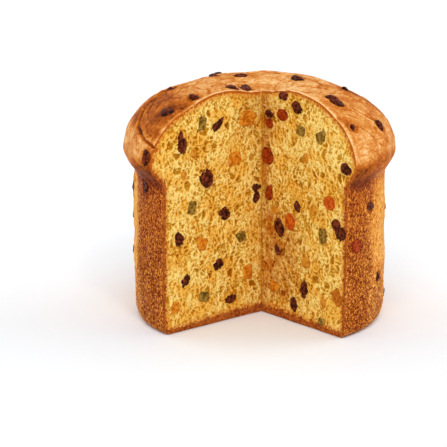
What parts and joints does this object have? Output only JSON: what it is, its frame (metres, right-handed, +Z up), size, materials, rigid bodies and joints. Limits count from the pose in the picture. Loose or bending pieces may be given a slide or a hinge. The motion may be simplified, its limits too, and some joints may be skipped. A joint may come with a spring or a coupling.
{
  "type": "panettone",
  "caption": "Tall round sweet loaf with a domed, overhanging crown and a quarter wedge cut out, its crumb studded with raisins and candied peel.",
  "frame": {"origin": "on the loaf's axis, at its flat base", "axes": "+Z up along the loaf's axis; the cut-out wedge opens towards -Y, and +X is to the right of someone who looks into it"},
  "size_m": [0.1831, 0.1619, 0.16],
  "materials": {
    "crust": "matte baked crust with a slight sheen",
    "crumb": "matte open crumb",
    "raisin": "moist, wrinkled and glossy",
    "orange_peel": "candied, slightly translucent",
    "citron": "candied, slightly translucent"
  },
  "bodies": {
    "root": {"panettone": "crust"}
  },
  "joints": []
}
